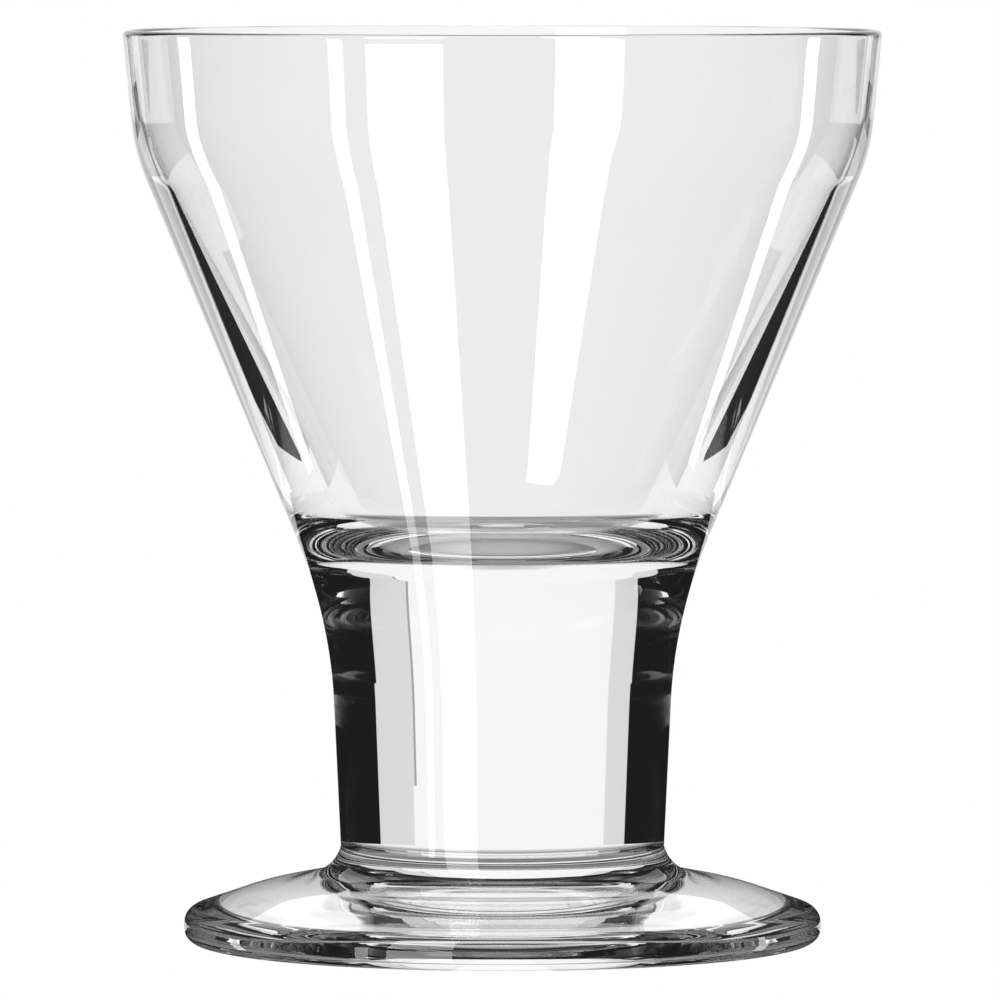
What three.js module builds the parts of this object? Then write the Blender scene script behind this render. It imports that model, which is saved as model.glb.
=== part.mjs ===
// A footed sherbet glass: a thick-bottomed bowl on a short solid stem and a round foot.
// The three pieces are formed apart and fused hot, face to face, at two level seams.
// Millimetres, +Z up, origin at the middle of the foot on the surface it stands on.

import * as THREE from 'three';

// Bowl outside: a nearly upright wall, a rounded shoulder and a straight cone down to the neck.
const RIM_DIAMETER = 82.5;
const WALL_HEIGHT = 13.2;
const SHOULDER_DIAMETER = 80;
const SHOULDER_BLEND = 21.9;
const CONE_HEIGHT = 50.5;
const NECK_DIAMETER = 37.8;
const NECK_BLEND = 52.6;

// Bowl inside: the hollow follows the outside, and its wall thickens from the lip to the floor.
const LIP_WALL = 1;
const SHOULDER_WALL = 1.2;
const INNER_SHOULDER_RISE = 0.3;
const INNER_SHOULDER_BLEND = 21;
const FLOOR_WALL = 1.7;
const FLOOR_THICKNESS = 6.6;
const FLOOR_DISH = 2;
const FLOOR_BLEND = 10.4;
const FLOOR_MIDDLE_DIAMETER = 14;
const FLOOR_MIDDLE_BLEND = 35;

// Stem: a solid round bar that narrows a little towards the foot.
const STEM_LENGTH = 27.56;
const STEM_BASE_DIAMETER = 34.64;

// Foot: a disc with a sloping top, a rounded edge, a level ring to stand on and a domed underside.
const FOOT_DIAMETER = 69.54;
const FOOT_EDGE_HEIGHT = 3.5;
const FOOT_EDGE_TOP_BLEND = 2;
const FOOT_EDGE_BOTTOM_BLEND = 1.7;
const FOOT_KNEE_DIAMETER = 53;
const FOOT_KNEE_RISE = 2.84;
const FOOT_KNEE_BLEND = 30;
const FOOT_CROWN_RISE = 1.8;
const FOOT_CROWN_BLEND = 4.1;
const STANDING_RING_WIDTH = 3.4;
const UNDERSIDE_RISE = 4.5;

// Seams: how far each lies from the corner of the outline beside it.
const BOWL_SEAM_DROP = 1.7;
const FOOT_SEAM_RISE = 2.4;

// Fineness of the round surfaces.
const SIDES = 64;
const ARC_STEPS = 6;

// Heights and radii that follow from the sizes above.
const kneeHeight = FOOT_EDGE_HEIGHT + FOOT_KNEE_RISE;
const crownHeight = kneeHeight + FOOT_CROWN_RISE;
const neckHeight = crownHeight + STEM_LENGTH;
const shoulderHeight = neckHeight + CONE_HEIGHT;
const rimHeight = shoulderHeight + WALL_HEIGHT;
const floorHeight = neckHeight + FLOOR_THICKNESS;
const bowlSeamHeight = neckHeight - BOWL_SEAM_DROP;
const footSeamHeight = crownHeight + FOOT_SEAM_RISE;
const lipRadius = LIP_WALL / 2;
const lipHeight = rimHeight - lipRadius;
const ringOuter = FOOT_DIAMETER / 2 - FOOT_EDGE_BOTTOM_BLEND;
const ringInner = ringOuter - STANDING_RING_WIDTH;

// A corner of the section: its distance from the axis, its height and the radius that rounds it.
function corner(radius, height, blend = 0) {
  return { at: new THREE.Vector2(radius, height), blend };
}

// The points of an arc in the section.
function arcPoints(centre, radius, from, to, clockwise) {
  const arc = new THREE.EllipseCurve(centre.x, centre.y, radius, radius, from, to, clockwise);
  return arc.getPoints(ARC_STEPS);
}

// The arc that rounds one corner, tangent to the lines on both sides and at most half as long as they are.
function blendPoints(before, here, after) {
  const back = before.at.clone().sub(here.at);
  const ahead = after.at.clone().sub(here.at);
  const longest = Math.min(back.length(), ahead.length()) / 2;
  const half = Math.abs(back.angleTo(ahead)) / 2;
  const reach = Math.min(here.blend / Math.tan(half), longest);
  const radius = reach * Math.tan(half);
  const from = back.setLength(reach);
  const to = ahead.setLength(reach);
  const centre = from.clone().add(to).setLength(radius / Math.sin(half));
  const start = from.sub(centre);
  const end = to.sub(centre);
  return arcPoints(centre.add(here.at), radius, start.angle(), end.angle(), start.cross(end) < 0);
}

// The points of a line through the corners, with each blended corner as an arc.
function roundedLine(corners) {
  return corners.flatMap((here, i) =>
    here.blend > 0 ? blendPoints(corners[i - 1], here, corners[i + 1]) : [here.at],
  );
}

// The hollow, from the middle of the floor up to the lip.
function innerLine() {
  return roundedLine([
    corner(0, floorHeight),
    corner(FLOOR_MIDDLE_DIAMETER / 2, floorHeight, FLOOR_MIDDLE_BLEND),
    corner(NECK_DIAMETER / 2 - FLOOR_WALL, floorHeight + FLOOR_DISH, FLOOR_BLEND),
    corner(SHOULDER_DIAMETER / 2 - SHOULDER_WALL, shoulderHeight + INNER_SHOULDER_RISE, INNER_SHOULDER_BLEND),
    corner(RIM_DIAMETER / 2 - LIP_WALL, lipHeight),
  ]);
}

// The half-round lip, without the two ends that the walls already have.
function lip() {
  const centre = new THREE.Vector2(RIM_DIAMETER / 2 - lipRadius, lipHeight);
  return arcPoints(centre, lipRadius, Math.PI, 0, true).slice(1, -1);
}

// The outside, from the lip down to the ring that the glass stands on.
function outerLine() {
  return roundedLine([
    corner(RIM_DIAMETER / 2, lipHeight),
    corner(SHOULDER_DIAMETER / 2, shoulderHeight, SHOULDER_BLEND),
    corner(NECK_DIAMETER / 2, neckHeight, NECK_BLEND),
    corner(STEM_BASE_DIAMETER / 2, crownHeight, FOOT_CROWN_BLEND),
    corner(FOOT_KNEE_DIAMETER / 2, kneeHeight, FOOT_KNEE_BLEND),
    corner(FOOT_DIAMETER / 2, FOOT_EDGE_HEIGHT, FOOT_EDGE_TOP_BLEND),
    corner(FOOT_DIAMETER / 2, 0, FOOT_EDGE_BOTTOM_BLEND),
    corner(ringInner, 0),
  ]);
}

// The domed underside of the foot, from the standing ring to the axis, without the end on the ring.
function underside() {
  const domeRadius = (ringInner ** 2 + UNDERSIDE_RISE ** 2) / (2 * UNDERSIDE_RISE);
  const centre = new THREE.Vector2(0, UNDERSIDE_RISE - domeRadius);
  const start = Math.atan2(-centre.y, ringInner);
  const points = arcPoints(centre, domeRadius, start, Math.PI / 2, false).slice(1, -1);
  return [...points, new THREE.Vector2(0, UNDERSIDE_RISE)];
}

// Half of the whole glass cut through its axis, from the bowl's floor to the foot's underside.
const section = [...innerLine(), ...lip(), ...outerLine(), ...underside()];

// Cuts a stretch of the section where it first falls through a height, and gives the two halves.
function cutAtSeam(points, height) {
  const after = points.findIndex((point, i) => i > 0 && points[i - 1].y > height && point.y <= height);
  const share = (points[after - 1].y - height) / (points[after - 1].y - points[after].y);
  const meeting = points[after - 1].clone().lerp(points[after], share).setY(height);
  const middle = new THREE.Vector2(0, height);
  return [
    [...points.slice(0, after), meeting, middle],
    [middle, meeting, ...points.slice(after)],
  ];
}

const [bowlSection, belowBowl] = cutAtSeam(section, bowlSeamHeight);
const [stemSection, footSection] = cutAtSeam(belowBowl, footSeamHeight);

// Clear, fire-polished soda-lime glass.
function clearGlass() {
  return new THREE.MeshStandardMaterial({
    color: 0xf3f5f4,
    roughness: 0.03,
    metalness: 0,
    transparent: true,
    opacity: 0.35,
  });
}

// A solid of revolution about the glass's upright axis.
function turned(name, profile) {
  const geometry = new THREE.LatheGeometry(profile.toReversed(), SIDES);
  const mesh = new THREE.Mesh(geometry, clearGlass());
  mesh.name = name;
  mesh.rotation.x = Math.PI / 2;
  return mesh;
}

// The bowl: the open cup with its solid bottom and the neck under it.
function bowl() {
  return turned('bowl', bowlSection);
}

// The stem: the solid bar between the two seams.
function stem() {
  return turned('stem', stemSection);
}

// The foot: the disc with the collar that meets the stem.
function foot() {
  return turned('foot', footSection);
}

const sherbetGlass = new THREE.Group();
sherbetGlass.add(bowl(), stem(), foot());

export default sherbetGlass;
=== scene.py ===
# A footed sherbet glass of clear glass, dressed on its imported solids, in a white studio.
# Metres, +Z up, origin at the middle of the foot on the surface that the glass stands on.
import math

import bpy
import numpy as np
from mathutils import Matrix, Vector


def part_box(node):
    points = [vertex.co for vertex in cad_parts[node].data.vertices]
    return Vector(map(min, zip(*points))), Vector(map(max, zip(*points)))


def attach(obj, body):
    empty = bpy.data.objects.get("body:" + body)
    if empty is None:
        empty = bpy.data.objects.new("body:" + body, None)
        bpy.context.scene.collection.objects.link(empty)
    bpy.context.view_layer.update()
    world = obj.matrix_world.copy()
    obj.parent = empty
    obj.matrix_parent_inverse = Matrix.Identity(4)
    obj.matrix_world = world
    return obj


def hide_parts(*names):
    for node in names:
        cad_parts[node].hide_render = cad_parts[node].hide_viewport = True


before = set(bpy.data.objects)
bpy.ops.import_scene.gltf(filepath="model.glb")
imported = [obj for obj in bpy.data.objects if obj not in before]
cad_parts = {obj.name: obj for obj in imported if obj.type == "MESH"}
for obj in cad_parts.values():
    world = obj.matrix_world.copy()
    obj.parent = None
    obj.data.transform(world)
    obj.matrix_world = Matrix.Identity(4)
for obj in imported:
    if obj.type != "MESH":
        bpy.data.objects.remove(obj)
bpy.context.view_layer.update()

# The foot
# A pressed disc of clear soda-lime glass with a sloping top, a polished edge, a level standing ring and a
# domed underside. Its collar is fused hot to the lower end of the stem, so the two touch over a level disc.
MM = 0.001
foot_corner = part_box("foot")[1]
FOOT_RADIUS = foot_corner.x
FOOT_SEAM = foot_corner.z
FOOT_EDGE_HEIGHT = 3.5 * MM
FOOT_EDGE_TOP_BLEND = 2.0 * MM
FOOT_EDGE_BOTTOM_BLEND = 1.7 * MM
FOOT_KNEE_RADIUS = 26.5 * MM
FOOT_KNEE_HEIGHT = 6.34 * MM
FOOT_KNEE_BLEND = 30 * MM
FOOT_CROWN_HEIGHT = 8.14 * MM
FOOT_CROWN_BLEND = 4.1 * MM
STANDING_RING_WIDTH = 3.4 * MM
UNDERSIDE_RISE = 4.5 * MM
STEM_BASE_RADIUS = 17.32 * MM
NECK_RADIUS = 18.9 * MM
NECK_HEIGHT = 35.7 * MM
ARC_POINTS = 25
POINT_SPACING = 0.6 * MM
SIDES = 256
SEAM_EDGE_ANGLE = math.radians(45)


def blend_arc(before, here, after, blend):
    """Arc that rounds one corner of a section: it touches the lines to both neighbours, and its centre is on
    their bisector. Its points turn evenly from the first touching point to the second about that centre."""
    back = (before - here) / np.linalg.norm(before - here)
    ahead = (after - here) / np.linalg.norm(after - here)
    half = np.arccos(back @ ahead) / 2
    start = back * blend / np.tan(half)
    end = ahead * blend / np.tan(half)
    centre = (back + ahead) / np.linalg.norm(back + ahead) * blend / np.sin(half)
    share = np.linspace(0, 1, ARC_POINTS)[:, None]
    sweep = np.pi - 2 * half
    turn = np.sin((1 - share) * sweep) * (start - centre) + np.sin(share * sweep) * (end - centre)
    return here + centre + turn / np.sin(sweep)


def rounded_line(corners):
    """Line through corners given as (distance from the axis, height, blend radius), with an arc in place of
    each inner corner."""
    points, blends = np.split(np.array(corners, float), [2], axis=1)
    arcs = [
        blend_arc(points[i - 1], points[i], points[i + 1], blends[i, 0])
        for i in range(1, len(points) - 1)
    ]
    return np.concatenate([points[:1], *arcs, points[-1:]])


def subdivided(line):
    """Adds points to the long sides of a line: each side gets as many equal steps as keep it under the point
    spacing."""
    sides = np.diff(line, axis=0)
    steps = np.maximum(1, np.ceil(np.linalg.norm(sides, axis=1) / POINT_SPACING)).astype(int)
    side = np.repeat(np.arange(len(sides)), steps)
    step = np.arange(len(side)) - np.repeat(np.cumsum(steps) - steps, steps)
    share = (step / steps[side])[:, None]
    return np.concatenate([line[side] + share * sides[side], line[-1:]])


def radius_at(line, height):
    """Distance from the axis at which a falling line passes a height, straight between its points."""
    return np.interp(-height, -line[:, 1], line[:, 0])


def between(line, low, high):
    """The stretch of a falling line between two heights, with its ends put exactly on them."""
    inside = line[(line[:, 1] < high) & (line[:, 1] > low)]
    return np.concatenate([[[radius_at(line, high), high]], inside, [[radius_at(line, low), low]]])


def turned(name, line, weld_at_start, weld_at_end, materials):
    """Surface of revolution: the line's point (r, z) goes to (r cos a, r sin a, z) at every angle a about the
    axis. The line starts and ends on the axis, where a fan closes the surface, and a fan on a fused seam
    takes the weld's material."""
    angle = np.linspace(0, 2 * np.pi, SIDES, endpoint=False)
    radius, height = line[1:-1, :1], line[1:-1, 1:]
    rings = np.stack([radius * np.cos(angle), radius * np.sin(angle), height + 0 * angle], axis=-1)
    poles = np.array([[0, 0, line[0, 1]], [0, 0, line[-1, 1]]])
    vertices = np.concatenate([rings.reshape(-1, 3), poles])
    here = np.arange(rings.shape[0] * SIDES).reshape(-1, SIDES)
    beside = np.roll(here, -1, axis=1)
    quads = np.stack([here[:-1], here[1:], beside[1:], beside[:-1]], axis=-1).reshape(-1, 4)
    first, last = len(vertices) - 2, len(vertices) - 1
    top_fan = np.stack([np.full(SIDES, first), here[0], beside[0]], axis=-1)
    bottom_fan = np.stack([here[-1], np.full(SIDES, last), beside[-1]], axis=-1)
    mesh = bpy.data.meshes.new(name)
    mesh.from_pydata(vertices, [], quads.tolist() + top_fan.tolist() + bottom_fan.tolist())
    slots = np.repeat([0, int(weld_at_start), int(weld_at_end)], [len(quads), SIDES, SIDES])
    for material in materials:
        mesh.materials.append(material)
    mesh.polygons.foreach_set("material_index", slots.astype(np.int32))
    mesh.polygons.foreach_set("use_smooth", np.ones(len(slots), bool))
    mesh.set_sharp_from_angle(angle=SEAM_EDGE_ANGLE)
    piece = bpy.data.objects.new(name, mesh)
    bpy.context.scene.collection.objects.link(piece)
    return piece


GLASS_COLOUR = (0.985, 0.99, 0.987, 1)
GLASS_IOR = 1.52
GLASS_ROUGHNESS = (0.0, 0.012)
WAVE_SCALE = 70
WAVE_DETAIL = 1
WAVE_DEPTH = 0.02 * MM
WAVE_STRENGTH = 0.25
BLOOM_SCALE = 240
BLOOM_RANGE = (0.45, 0.75)


def clear_glass():
    """Fire-polished soda-lime glass: faint slow waves in the surface, and a trace of uneven polish."""
    material = bpy.data.materials.new("clear_glass")
    material.use_nodes = True
    tree = material.node_tree
    shader = tree.nodes["Principled BSDF"]
    shader.inputs["Base Color"].default_value = GLASS_COLOUR
    shader.inputs["IOR"].default_value = GLASS_IOR
    shader.inputs["Transmission Weight"].default_value = 1
    place = tree.nodes.new("ShaderNodeTexCoord")
    waves = tree.nodes.new("ShaderNodeTexNoise")
    waves.inputs["Scale"].default_value = WAVE_SCALE
    waves.inputs["Detail"].default_value = WAVE_DETAIL
    bump = tree.nodes.new("ShaderNodeBump")
    bump.inputs["Strength"].default_value = WAVE_STRENGTH
    bump.inputs["Distance"].default_value = WAVE_DEPTH
    bloom = tree.nodes.new("ShaderNodeTexNoise")
    bloom.inputs["Scale"].default_value = BLOOM_SCALE
    polish = tree.nodes.new("ShaderNodeMapRange")
    polish.inputs["From Min"].default_value, polish.inputs["From Max"].default_value = BLOOM_RANGE
    polish.inputs["To Min"].default_value, polish.inputs["To Max"].default_value = GLASS_ROUGHNESS
    tree.links.new(place.outputs["Object"], waves.inputs["Vector"])
    tree.links.new(place.outputs["Object"], bloom.inputs["Vector"])
    tree.links.new(waves.outputs["Fac"], bump.inputs["Height"])
    tree.links.new(bump.outputs["Normal"], shader.inputs["Normal"])
    tree.links.new(bloom.outputs["Fac"], polish.inputs["Value"])
    tree.links.new(polish.outputs["Result"], shader.inputs["Roughness"])
    return material


def fused_weld():
    """The inside of a hot weld, where the glass runs on with no surface to see."""
    material = bpy.data.materials.new("fused_weld")
    material.use_nodes = True
    tree = material.node_tree
    tree.nodes.clear()
    through = tree.nodes.new("ShaderNodeBsdfTransparent")
    output = tree.nodes.new("ShaderNodeOutputMaterial")
    tree.links.new(through.outputs["BSDF"], output.inputs["Surface"])
    return material


def add_piece(piece, node):
    """Puts a glass piece on the one rigid body in place of its solid."""
    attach(piece, "root")
    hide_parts(node)


glass_looks = [clear_glass(), fused_weld()]
ring_inner = FOOT_RADIUS - FOOT_EDGE_BOTTOM_BLEND - STANDING_RING_WIDTH
lower_outside = rounded_line([
    (NECK_RADIUS, NECK_HEIGHT, 0),
    (STEM_BASE_RADIUS, FOOT_CROWN_HEIGHT, FOOT_CROWN_BLEND),
    (FOOT_KNEE_RADIUS, FOOT_KNEE_HEIGHT, FOOT_KNEE_BLEND),
    (FOOT_RADIUS, FOOT_EDGE_HEIGHT, FOOT_EDGE_TOP_BLEND),
    (FOOT_RADIUS, 0, FOOT_EDGE_BOTTOM_BLEND),
    (ring_inner, 0, 0),
])
dome_radius = np.linspace(ring_inner, 0, ARC_POINTS)[1:]
dome_curve = (ring_inner**2 + UNDERSIDE_RISE**2) / (2 * UNDERSIDE_RISE)
dome_height = UNDERSIDE_RISE - dome_curve + np.sqrt(dome_curve**2 - dome_radius**2)
underside = np.stack([dome_radius, dome_height], axis=1)
below_seam = lower_outside[lower_outside[:, 1] < FOOT_SEAM]
foot_seam_radius = radius_at(lower_outside, FOOT_SEAM)
foot_outside = np.concatenate([[[foot_seam_radius, FOOT_SEAM]], below_seam, underside])
foot_line = np.concatenate([[[0, FOOT_SEAM]], subdivided(foot_outside)])
foot = turned("glass_foot", foot_line, True, False, glass_looks)
add_piece(foot, "foot")

# The stem
# A short solid bar of the same glass that narrows a little downwards, drawn out under the bowl.
# Both of its ends are fused hot: to the bowl's neck above and to the foot's collar below.
bowl_low, bowl_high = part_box("bowl")
BOWL_SEAM = bowl_low.z
RIM_RADIUS = bowl_high.x
RIM_HEIGHT = bowl_high.z
LIP_WALL = 1 * MM
SHOULDER_RADIUS = 40 * MM
SHOULDER_HEIGHT = 86.2 * MM
SHOULDER_BLEND = 21.9 * MM
NECK_BLEND = 52.6 * MM

lip_height = RIM_HEIGHT - LIP_WALL / 2
upper_outside = rounded_line([
    (RIM_RADIUS, lip_height, 0),
    (SHOULDER_RADIUS, SHOULDER_HEIGHT, SHOULDER_BLEND),
    (NECK_RADIUS, NECK_HEIGHT, NECK_BLEND),
    (STEM_BASE_RADIUS, FOOT_CROWN_HEIGHT, 0),
])
stem_side = between(upper_outside, FOOT_SEAM, BOWL_SEAM)
stem_side[-1, 0] = foot_seam_radius
stem_line = np.concatenate([[[0, BOWL_SEAM]], subdivided(stem_side), [[0, FOOT_SEAM]]])
stem = turned("glass_stem", stem_line, True, True, glass_looks)
add_piece(stem, "stem")

# The bowl
# A pressed and fire-polished cup of the same glass: an upright band under the rim, a soft shoulder and a
# straight cone, with a thick solid bottom under the hollow. Its neck is fused hot to the top of the stem.
INNER_SHOULDER_RADIUS = 38.8 * MM
INNER_SHOULDER_HEIGHT = 86.5 * MM
INNER_SHOULDER_BLEND = 21 * MM
FLOOR_RADIUS = 17.2 * MM
FLOOR_EDGE_HEIGHT = 44.3 * MM
FLOOR_BLEND = 10.4 * MM
FLOOR_HEIGHT = 42.3 * MM
FLOOR_MIDDLE_RADIUS = 7 * MM
FLOOR_MIDDLE_BLEND = 35 * MM

inside = rounded_line([
    (0, FLOOR_HEIGHT, 0),
    (FLOOR_MIDDLE_RADIUS, FLOOR_HEIGHT, FLOOR_MIDDLE_BLEND),
    (FLOOR_RADIUS, FLOOR_EDGE_HEIGHT, FLOOR_BLEND),
    (INNER_SHOULDER_RADIUS, INNER_SHOULDER_HEIGHT, INNER_SHOULDER_BLEND),
    (RIM_RADIUS - LIP_WALL, lip_height, 0),
])
lip_angle = np.linspace(np.pi, 0, ARC_POINTS)[1:-1]
lip_middle = RIM_RADIUS - LIP_WALL / 2
lip = np.stack([
    lip_middle + LIP_WALL / 2 * np.cos(lip_angle),
    lip_height + LIP_WALL / 2 * np.sin(lip_angle),
], axis=1)
bowl_side = between(upper_outside, BOWL_SEAM, lip_height)
bowl_wall = subdivided(np.concatenate([inside, lip, bowl_side]))
bowl_line = np.concatenate([bowl_wall, [[0, BOWL_SEAM]]])
bowl = turned("glass_bowl", bowl_line, False, True, glass_looks)
add_piece(bowl, "bowl")

# The camera
# A long lens a little above the rim, far enough back to look almost straight, aimed at the middle of the
# glass.
CAMERA_PLACE = (0, -1.2, 0.11488)
CAMERA_AIM_HEIGHT = 0.04824
SENSOR_WIDTH = 36
LENS = 397.3
CAMERA_SHIFT = (-0.00245, 0)

camera = bpy.data.cameras.new("camera")
camera.sensor_width = SENSOR_WIDTH
camera.lens = LENS
camera.shift_x, camera.shift_y = CAMERA_SHIFT
camera_stand = bpy.data.objects.new("camera", camera)
camera_stand.location = CAMERA_PLACE
tilt = math.atan2(CAMERA_AIM_HEIGHT - CAMERA_PLACE[2], -CAMERA_PLACE[1])
camera_stand.rotation_euler = (math.pi / 2 + tilt, 0, 0)
bpy.context.scene.collection.objects.link(camera_stand)
bpy.context.scene.camera = camera_stand

# The turntable
# The studio's lights, cards and backdrop stand round the glass and turn with the camera about the upright
# axis, as they do when a glass is turned in front of one fixed backdrop.
turntable = bpy.data.objects.new("turntable", None)
bpy.context.scene.collection.objects.link(turntable)
turning = turntable.constraints.new("COPY_ROTATION")
turning.target = camera_stand
turning.use_x = False
turning.use_y = False


def glow(name, strength):
    """A sheet's own even light, from white paper at about one down to black card at next to nothing."""
    material = bpy.data.materials.new(name)
    material.use_nodes = True
    tree = material.node_tree
    tree.nodes.clear()
    light = tree.nodes.new("ShaderNodeEmission")
    light.inputs["Strength"].default_value = strength
    output = tree.nodes.new("ShaderNodeOutputMaterial")
    tree.links.new(light.outputs["Emission"], output.inputs["Surface"])
    return material


def studio_sheet(name, points, strength, in_glass=True, in_gloss=True):
    """A sheet through a grid of points, one quad to each cell, that stands on the turntable out of the
    camera's sight. Rays that pass through the glass meet it where it is in the glass, and rays that the glass
    mirrors meet it where it is in the gloss."""
    rows, columns = points.shape[:2]
    here = np.arange(rows * columns).reshape(rows, columns)
    quads = np.stack([here[:-1, :-1], here[1:, :-1], here[1:, 1:], here[:-1, 1:]], axis=-1)
    mesh = bpy.data.meshes.new(name)
    mesh.from_pydata(points.reshape(-1, 3), [], quads.reshape(-1, 4).tolist())
    mesh.materials.append(glow(name, strength))
    sheet = bpy.data.objects.new(name, mesh)
    sheet.visible_camera = False
    sheet.visible_transmission = in_glass
    sheet.visible_glossy = in_gloss
    sheet.parent = turntable
    bpy.context.scene.collection.objects.link(sheet)
    return sheet


def upright(name, plan, low, high, strength, **seen):
    """An upright sheet: a line of places on the floor plan, swept from a low to a high level."""
    line = np.array(plan, float)
    points = np.stack([np.column_stack([line, np.full(len(line), level)]) for level in (low, high)])
    return studio_sheet(name, points, strength, **seen)


def level_sheet(name, plan, height, strength, **seen):
    """A level sheet between four places on the floor plan: two on its near side, then two on its far side."""
    points = np.column_stack([plan, np.full(len(plan), height)]).reshape(2, 2, -1)
    return studio_sheet(name, points, strength, **seen)


# The floor
# A pale table top for the camera, and the lit part of it that shows in the glass: a fan that opens from just
# before the glass to the backdrop, with a painted soft shadow of the foot. The gloss mirrors a narrower fan.
FLOOR_FRONT = -45 * MM
FLOOR_HALF_WIDTH = 2000 * MM
FLOOR_BACK = 2000 * MM
TABLE_LEVEL = -0.05 * MM
BACKDROP_BACK = 600 * MM
FAN_START = -40 * MM
MIRROR_FAN_WIDTH = 480 * MM
TABLE_FAN_WIDTH = 900 * MM
WHITE_STRENGTH = 1
PAPER_STRENGTH = 1.02
# The painted shadow of the foot: greys ring by ring out from its middle, where a lighter grey is painted
# light that comes down through the stem.
SHADOW_REACH = 100 * MM
SHADOW_RINGS = np.array([0, 12, 20, 44, 58]) * MM
SHADOW_GREYS = (0.5, 0.45, 0.24, 0.24, 1)

floor_plan = [
    (-FLOOR_HALF_WIDTH, FLOOR_FRONT),
    (FLOOR_HALF_WIDTH, FLOOR_FRONT),
    (-FLOOR_HALF_WIDTH, FLOOR_BACK),
    (FLOOR_HALF_WIDTH, FLOOR_BACK),
]
floor = level_sheet("floor", floor_plan, TABLE_LEVEL, WHITE_STRENGTH, in_glass=False, in_gloss=False)
floor.visible_camera = True


def fan(name, half_width, strength, **seen):
    """A level triangle that opens from one place just before the glass to a line under the backdrop."""
    start = (0, FAN_START)
    plan = [start, start, (-half_width, BACKDROP_BACK), (half_width, BACKDROP_BACK)]
    return level_sheet(name, plan, TABLE_LEVEL, strength, **seen)


fan("mirror_fan", MIRROR_FAN_WIDTH, WHITE_STRENGTH, in_glass=False)
table = fan("table_fan", TABLE_FAN_WIDTH, PAPER_STRENGTH, in_gloss=False)
# The table fan's glow is painted darker by distance from the middle of the foot, as the foot's painted
# shadow.
shade = table.data.materials[0].node_tree
spot = shade.nodes.new("ShaderNodeTexCoord")
reach = shade.nodes.new("ShaderNodeVectorMath")
reach.operation = "LENGTH"
share = shade.nodes.new("ShaderNodeMapRange")
share.inputs["From Max"].default_value = SHADOW_REACH
shadow = shade.nodes.new("ShaderNodeValToRGB")
stops = shadow.color_ramp.elements
while len(stops) < len(SHADOW_RINGS):
    stops.new(1)
for stop, ring, grey in zip(stops, SHADOW_RINGS, SHADOW_GREYS):
    stop.position = ring / SHADOW_REACH
    stop.color = (grey, grey, grey, 1)
shade.links.new(spot.outputs["Object"], reach.inputs[0])
shade.links.new(reach.outputs["Value"], share.inputs["Value"])
shade.links.new(share.outputs["Result"], shadow.inputs["Fac"])
shade.links.new(shadow.outputs["Color"], shade.nodes["Emission"].inputs["Color"])

# The backdrop
# White paper that hangs behind the glass, greyer on both sides with painted shade, and with a flat darker
# strip of painted shade for a fold where the right side starts.
# Its lower edge hangs just past the table top, so no gap shows between the two through the glass.
BACKDROP_ENDS = (-455 * MM, 430 * MM)
BACKDROP_LEFT = -310 * MM
BACKDROP_RIGHT = 235 * MM
BACKDROP_LOW = -2 * MM
BACKDROP_HIGH = 700 * MM
FOLD_WIDTH = 8 * MM
# Painted shade on the paper: the dim glow of the fold strip, and of both greyer sides.
FOLD_SHADE_STRENGTH = 0.4
GREY_STRENGTH = 0.78

fold_end = BACKDROP_RIGHT + FOLD_WIDTH
for name, left, right, strength in (
    ("backdrop_left", BACKDROP_ENDS[0], BACKDROP_LEFT, GREY_STRENGTH),
    ("backdrop", BACKDROP_LEFT, BACKDROP_RIGHT, PAPER_STRENGTH),
    ("backdrop_fold_shade", BACKDROP_RIGHT, fold_end, FOLD_SHADE_STRENGTH),
    ("backdrop_right", fold_end, BACKDROP_ENDS[1], GREY_STRENGTH),
):
    upright(name, [(left, BACKDROP_BACK), (right, BACKDROP_BACK)], BACKDROP_LOW, BACKDROP_HIGH, strength)

# The cards and flags
# On each side a narrow black card close behind the glass draws the dark line along the edge of the bowl, and
# a screen with a grey end and a wing darkens the sides of the stem. Two flags keep light off the gloss: one
# beside the stem, and one in front of the backdrop.
BLACK_STRENGTH = 0.012
CARD_STRENGTH = 0.03
CARD_BACK = 30 * MM
CARD_LEVELS = np.array([27, 34, 40, 47, 56, 66, 75, 80, 85, 90]) * MM
CARD_INNER = np.array([50, 43, 37, 36, 40.5, 46, 54.5, 55, 53.5, 51]) * MM
CARD_OUTER = np.array([51.2, 51.2, 51.2, 51.2, 51.2, 51.2, 56, 59, 58.2, 56.2]) * MM
SCREEN_PLAN = np.array([(149, 216), (235, 90)]) * MM
SCREEN_HIGH = 45 * MM
GREY_ENDS = {"left": (-115 * MM, 238 * MM), "right": (96 * MM, 247 * MM)}
WING_PLAN = np.array([(75, 40), (75, -60)]) * MM
WING_HIGH = 36 * MM
FLAG_PLAN = np.array([(20, 62), (52, 35), (52, -12)]) * MM
FLAG_HIGH = 34 * MM
FAR_FLAG_PLAN = np.array([(235, 590), (345, 590)]) * MM
FAR_FLAG_LOW = 40 * MM
FAR_FLAG_HIGH = 90 * MM
SIDE_SIGNS = {"left": -1, "right": 1}

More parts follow.
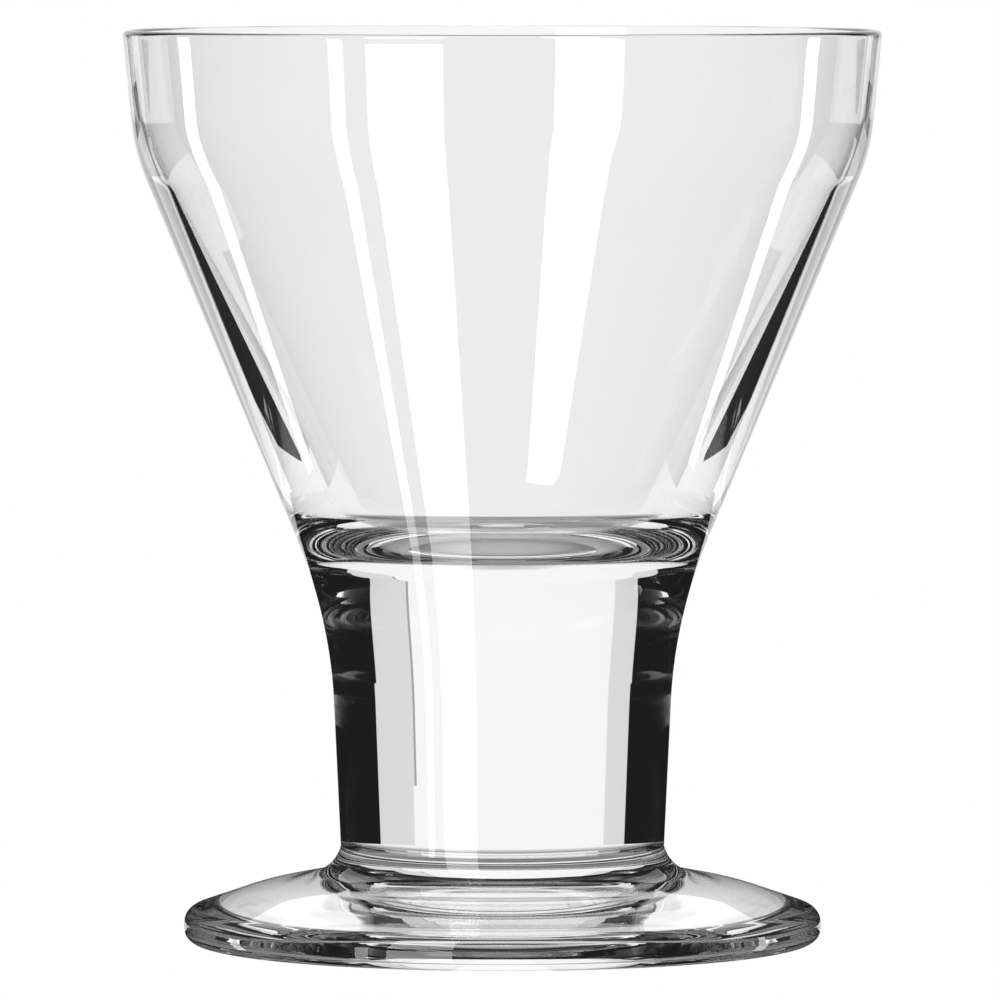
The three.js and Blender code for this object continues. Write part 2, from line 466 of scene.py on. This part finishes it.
for side, sign in SIDE_SIGNS.items():
    to_side = np.array([sign, 1])
    card_points = np.stack([
        np.column_stack([sign * across, np.full_like(across, CARD_BACK), CARD_LEVELS])
        for across in (CARD_INNER, CARD_OUTER)
    ], axis=1)
    studio_sheet(f"card_{side}", card_points, CARD_STRENGTH, in_gloss=False)
    screen_plan = SCREEN_PLAN * to_side
    grey_plan = [GREY_ENDS[side], screen_plan[0]]
    upright(f"screen_{side}", screen_plan, 0, SCREEN_HIGH, BLACK_STRENGTH, in_gloss=False)
    upright(f"wing_{side}", WING_PLAN * to_side, 0, WING_HIGH, BLACK_STRENGTH, in_gloss=False)
    upright(f"grey_end_{side}", grey_plan, 0, SCREEN_HIGH, GREY_STRENGTH, in_gloss=False)
    flag_plan = FLAG_PLAN * to_side
    far_flag_plan = FAR_FLAG_PLAN * to_side
    upright(f"flag_{side}", flag_plan, 0, FLAG_HIGH, BLACK_STRENGTH, in_glass=False)
    upright(f"far_flag_{side}", far_flag_plan, FAR_FLAG_LOW, FAR_FLAG_HIGH, BLACK_STRENGTH, in_glass=False)

# The lights
# A wide and a narrow softbox on the left in front, and a strip light on each side, are curved white panels
# that show in the gloss alone. The wide one has a dark gap at the height of the glass. On each side an edge
# light lies on the table behind the glass and brightens the outermost edge of the bowl.
LIGHT_DISTANCE = 700 * MM
LIGHT_CENTRE = 60 * MM
LIGHT_STRENGTH = 5
LIGHT_SPREAD = 0.5
SPREAD_POWER = 3
PANEL_ROWS = 40
WIDE_BOX_TURN = (-41, -17.4)
WIDE_BOX_LOWER_RISE = (-51, -6)
WIDE_BOX_UPPER_RISE = (6, 60)
NARROW_BOX_TURN = (-53, -48)
NARROW_BOX_RISE = (-46, 3)
STRIP_LEFT_TURN = (-113.6, -107.2)
STRIP_RIGHT_TURN = (103.2, 109.6)
STRIP_RISE = (-33, 2)
EDGE_LIGHT_PLAN = np.array([(110, 108), (230, 280), (110, 300), (230, 480)]) * MM
EDGE_LIGHT_LEVEL = 0.5 * MM
EDGE_LIGHT_STRENGTH = 1.8


def curved_panel(name, turn, rise):
    """A panel on a sphere round the glass, between two azimuths and two elevations, in degrees from the
    front. Its azimuths spread away from the front by a share of a power of the elevation's sine."""
    elevation = np.radians(np.linspace(*rise, PANEL_ROWS))[:, None]
    spread = 1 + LIGHT_SPREAD * np.abs(np.sin(elevation)) ** SPREAD_POWER
    azimuth = np.radians(np.array(turn))[None, :] * spread
    across = LIGHT_DISTANCE * np.cos(elevation) * np.sin(azimuth)
    forward = LIGHT_DISTANCE * np.cos(elevation) * np.cos(azimuth)
    height = LIGHT_CENTRE + LIGHT_DISTANCE * np.sin(elevation)
    points = np.stack(np.broadcast_arrays(across, -forward, height), axis=-1)
    return studio_sheet(name, points, LIGHT_STRENGTH, in_glass=False)


for side, sign in SIDE_SIGNS.items():
    edge_plan = EDGE_LIGHT_PLAN * np.array([sign, 1])
    level_sheet(f"edge_light_{side}", edge_plan, EDGE_LIGHT_LEVEL, EDGE_LIGHT_STRENGTH, in_glass=False)
curved_panel("wide_box_lower", WIDE_BOX_TURN, WIDE_BOX_LOWER_RISE)
curved_panel("wide_box_upper", WIDE_BOX_TURN, WIDE_BOX_UPPER_RISE)
curved_panel("narrow_box", NARROW_BOX_TURN, NARROW_BOX_RISE)
curved_panel("strip_light_left", STRIP_LEFT_TURN, STRIP_RISE)
curved_panel("strip_light_right", STRIP_RIGHT_TURN, STRIP_RISE)

# The room
# Beyond the lights the room is dark, with a dim ceiling overhead, and the camera sees plain white all round
# the glass.
ROOM_COLOUR = (1, 1, 1, 1)
ROOM_CEILING = 0.3
ROOM_DARK = 0.012
CEILING_START = 0.85
CEILING_FULL = 0.95

world = bpy.data.worlds.new("room")
bpy.context.scene.world = world
world.use_nodes = True
room = world.node_tree
sky = room.nodes["Background"]
sky.inputs["Color"].default_value = ROOM_COLOUR
way = room.nodes.new("ShaderNodeTexCoord")
parts = room.nodes.new("ShaderNodeSeparateXYZ")
ceiling = room.nodes.new("ShaderNodeMapRange")
ceiling.inputs["From Min"].default_value = CEILING_START
ceiling.inputs["From Max"].default_value = CEILING_FULL
ceiling.inputs["To Min"].default_value = ROOM_DARK
ceiling.inputs["To Max"].default_value = ROOM_CEILING
path = room.nodes.new("ShaderNodeLightPath")
seen_white = room.nodes.new("ShaderNodeMapRange")
seen_white.inputs["To Max"].default_value = WHITE_STRENGTH
room.links.new(way.outputs["Generated"], parts.inputs["Vector"])
room.links.new(parts.outputs["Z"], ceiling.inputs["Value"])
room.links.new(path.outputs["Is Camera Ray"], seen_white.inputs["Value"])
room.links.new(ceiling.outputs["Result"], seen_white.inputs["To Min"])
room.links.new(seen_white.outputs["Result"], sky.inputs["Strength"])

# The picture
# White paper stays white, and light may pass through all the walls of the glass.
BOUNCES = 48
scene = bpy.context.scene
scene.view_settings.view_transform = "Standard"
scene.cycles.max_bounces = BOUNCES
scene.cycles.transmission_bounces = BOUNCES
scene.cycles.glossy_bounces = BOUNCES
scene.cycles.transparent_max_bounces = BOUNCES
